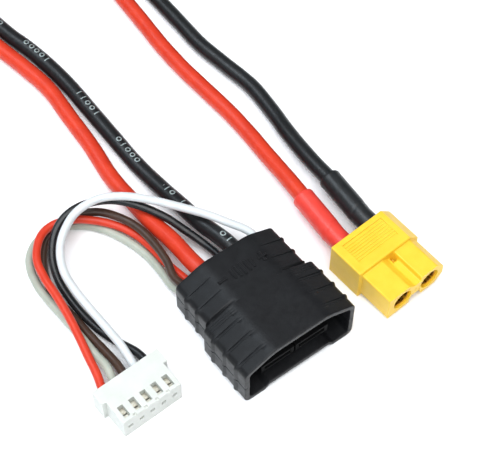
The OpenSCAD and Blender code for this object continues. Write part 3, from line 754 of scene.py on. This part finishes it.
def softened(node, name, slot, width, small, is_small):
    """A copy of a CAD node with rounded edges: width mm, or small mm where is_small says so."""
    mesh = frame["nodes"][node].data.copy()
    work = bmesh.new()
    work.from_mesh(mesh)
    bmesh.ops.remove_doubles(work, verts=work.verts, dist=WELD * MM)
    bmesh.ops.dissolve_limit(work, angle_limit=FLAT_ANGLE, verts=work.verts, edges=work.edges)
    weights = work.edges.layers.float.new("bevel_weight_edge")
    for edge in work.edges:
        if len(edge.link_faces) == 2 and edge.calc_face_angle(0) > SHARP_ANGLE:
            middle = (edge.verts[0].co + edge.verts[1].co) / 2 / MM
            edge[weights] = small / width if is_small(middle) else 1
    work.to_mesh(mesh)
    work.free()
    piece = bpy.data.objects.new(name, mesh)
    bpy.context.scene.collection.objects.link(piece)
    finish_piece(piece, slot, [node], 30)
    bevel = piece.modifiers.new("rounding", "BEVEL")
    bevel.limit_method = "WEIGHT"
    bevel.width = width * MM
    bevel.segments = 3
    bevel.harden_normals = False
    piece.modifiers.new("even_shading", "WEIGHTED_NORMAL").keep_sharp = True
    return piece


BULLET_AT = Matrix.Translation((25.9, 2.3, 0)) @ Matrix.Rotation(math.radians(4), 4, "Z")
HOUSING_AT = Matrix.Translation((-28.4, 4.3, 0)) @ Matrix.Rotation(math.radians(2), 4, "Z")


PANEL_X = (-6.6, 4.6)
PANEL_Y = (-6.6, -0.8)
PANEL_FLOOR = 7.6
NOSE_Y = -16


def is_fine_bullet_edge(point):
    """Whether a point is in the yellow housing's recessed panel or on its front face."""
    x, y, z = BULLET_AT.inverted() @ point
    across, along = PANEL_X[0] < x < PANEL_X[1], PANEL_Y[0] < y < PANEL_Y[1]
    return (z > PANEL_FLOOR and across and along) or abs(y - NOSE_Y) < 0.2


bullet_cover = softened(
    "bullet_housing", "bullet_cover", "housing_yellow", 0.32, 0.07, is_fine_bullet_edge)
balance_cover = softened(
    "balance_housing", "balance_cover", "housing_white", 0.14, 0.08, lambda point: False)


# ---------------------------------------------------------------- crimp terminals

BALANCE_PITCH = 2.5
CORE_Z = 2.9
BOX = {"half": 0.8, "low": 1.95, "high": 4.02, "front": -7.3, "back": -2.9, "wall": 0.15}
CHEEK = 0.14
TOP_GAP = (-6.75, -6.45)
LANCE = {"half": 0.42, "front": -6.3, "back": -5.7, "rise": 0.14}
NECK = {"half": 0.5, "back": -2.3, "lift": 0.02}
CRIMP = [(-2.4, 0.44), (-2.4, 0.68), (-2.3, 0.72), (-1.2, 0.72), (-1.1, 0.68), (-1.1, 0.44)]
CRIMP_SIDES = 16
CRIMP_BORE = 0.5


def cuboid(low, high, base):
    """Corners and faces of a box, whose first corner is vertex number base."""
    (x0, y0, z0), (x1, y1, z1) = low, high
    verts = [(x, y, z) for z in (z0, z1) for x, y in ((x0, y0), (x1, y0), (x1, y1), (x0, y1))]
    sides = [(3, 2, 1, 0), (4, 5, 6, 7), (0, 1, 5, 4), (1, 2, 6, 5), (2, 3, 7, 6), (3, 0, 4, 7)]
    return verts, [tuple(base + k for k in side) for side in sides]


def add_terminal(way):
    """A folded box contact with a gap in its top, a neck and a crimp that grips the core."""
    half, front, back = BOX["half"], BOX["front"], BOX["back"]
    low, high, wall = BOX["low"], BOX["high"], BOX["wall"]
    inner, lance, neck = half - CHEEK, LANCE["half"], NECK["half"]
    floor, ceiling = low + wall, high - wall
    boxes = [
        ((-half, front, low), (half, back, floor)),
        ((-half, front, floor), (-inner, back, ceiling)),
        ((inner, front, floor), (half, back, ceiling)),
        ((-half, front - 0.05, ceiling), (half, TOP_GAP[0], high)),
        ((-half, TOP_GAP[1], ceiling), (half, back, high)),
        ((-lance, LANCE["front"], high), (lance, LANCE["back"], high + LANCE["rise"])),
        ((-neck, back, low + NECK["lift"]), (neck, NECK["back"], floor)),
    ]
    verts, faces = [], []
    for box_low, box_high in boxes:
        more, sides = cuboid(box_low, box_high, len(verts))
        verts += more
        faces += sides
    base = len(verts)
    for y, r in CRIMP:
        for k in range(CRIMP_SIDES):
            a = 2 * math.pi * k / CRIMP_SIDES
            seam = 0.1 * math.exp(-((a - math.pi / 2) / 0.3) ** 2) if r > CRIMP_BORE else 0
            verts.append(((r - seam) * math.cos(a), y, CORE_Z + (r - seam) * math.sin(a)))
    starts = [base + i * CRIMP_SIDES for i in range(len(CRIMP))]
    for first, second in zip(starts, starts[1:] + starts[:1]):
        faces += band(first, second, CRIMP_SIDES)
    at = HOUSING_AT @ Matrix.Translation(((way - 3) * BALANCE_PITCH, 0, 0))
    placed = [tuple(at @ Vector(v)) for v in verts]
    node = f"balance_terminal_{way}"
    return new_piece(f"crimp_contact_{way}", placed, faces, "terminal_tin", [node], 35)


TERMINALS = {way: add_terminal(way) for way in range(1, 6)}


# ---------------------------------------------------------------- carried-over CAD nodes

for row in frame["record"]["subparts"]:
    node = frame["nodes"][row["node"]]
    node.data.materials.clear()
    node.data.materials.append(SURFACES[row["material_slot"]])


# ---------------------------------------------------------------- heat-shrunk sleeves

SOCKET_Z = 4.05
SOCKET_PITCH = 7.2
NECK_L = 3
SLEEVE_L = 11.6
SLEEVE_R = 2.2
NECK_BORE_R = 1.98
LEAD_BORE_R = 1.79
SLEEVE_SIDES = 40
SLEEVE_STEPS = 14
SLEEVE_BEND = (
    Matrix.Rotation(math.radians(-8), 4, "Z") @ Matrix.Rotation(math.radians(-2.6), 4, "X")
).to_3x3()


def sleeve_radius(along, angle):
    """Outer radius: it swells past the socket's neck, and is rippled, creased and rimmed."""
    swell_at, crease_at, total = 3.6, 4.2, NECK_L + SLEEVE_L
    grow = 1 / (1 + math.exp(-(along - swell_at - 0.5 * math.sin(angle)) * 2.2))
    fade = math.exp(-((along - swell_at) / 2.2) ** 2)
    ripple = 0.035 * math.sin(3 * angle + along * 0.8) * fade
    crease = 0.06 * math.exp(-((along - crease_at - 0.7 * math.sin(angle + 1)) / 0.35) ** 2)
    rim = 0.04 * math.exp(-((along - total + 0.5) / 0.5) ** 2)
    end = 0.22 * max(0, (along - total + 0.12) / 0.12) ** 2
    return SLEEVE_R + 0.13 * grow + ripple - crease + rim - end


def sleeve_bore(along, angle):
    return NECK_BORE_R if along < NECK_L + 1 else LEAD_BORE_R


def add_sleeve(side, sign, slot):
    """A shrunk sleeve: straight over the socket's neck, then bent along its lead."""
    start = Matrix.Translation((sign * SOCKET_PITCH / 2, 0, SOCKET_Z))
    knee = start @ Vector((0, NECK_L, 0))
    local = [start @ Vector((0, y, 0)) for y in (0.05, 1, 2)]
    local += [knee + SLEEVE_BEND @ Vector((0, y, 0)) for y in (0.6, 2.5, 5, 8, SLEEVE_L)]
    line = smooth_line([tuple(BULLET_AT @ p) for p in local], SLEEVE_STEPS)
    outer, faces, _ = tube_mesh(line, sleeve_radius, SLEEVE_SIDES, caps=False)
    inner, _, _ = tube_mesh(line, sleeve_bore, SLEEVE_SIDES, caps=False)
    base = len(outer)
    last = base - SLEEVE_SIDES
    faces += [tuple(reversed([i + base for i in f])) for f in list(faces)]
    for k in range(SLEEVE_SIDES):
        j = (k + 1) % SLEEVE_SIDES
        faces.append((j, k, base + k, base + j))
        faces.append((last + k, last + j, base + last + j, base + last + k))
    name, node = f"bullet_shrink_{side}", f"bullet_sleeve_{side}"
    return new_piece(name, outer + inner, faces, slot, [node], 50)


SLEEVES = {
    "positive": add_sleeve("positive", -1, "shrink_red"),
    "negative": add_sleeve("negative", 1, "shrink_black"),
}


# ---------------------------------------------------------------- floor

def add_floor():
    half = 1.5
    corners = [(-half, -half, 0), (half, -half, 0), (half, half, 0), (-half, half, 0)]
    mesh = bpy.data.meshes.new("floor")
    mesh.from_pydata(corners, [], [(0, 1, 2, 3)])
    floor = bpy.data.objects.new("floor", mesh)
    bpy.context.scene.collection.objects.link(floor)
    mesh.materials.append(floor_surface())


add_floor()
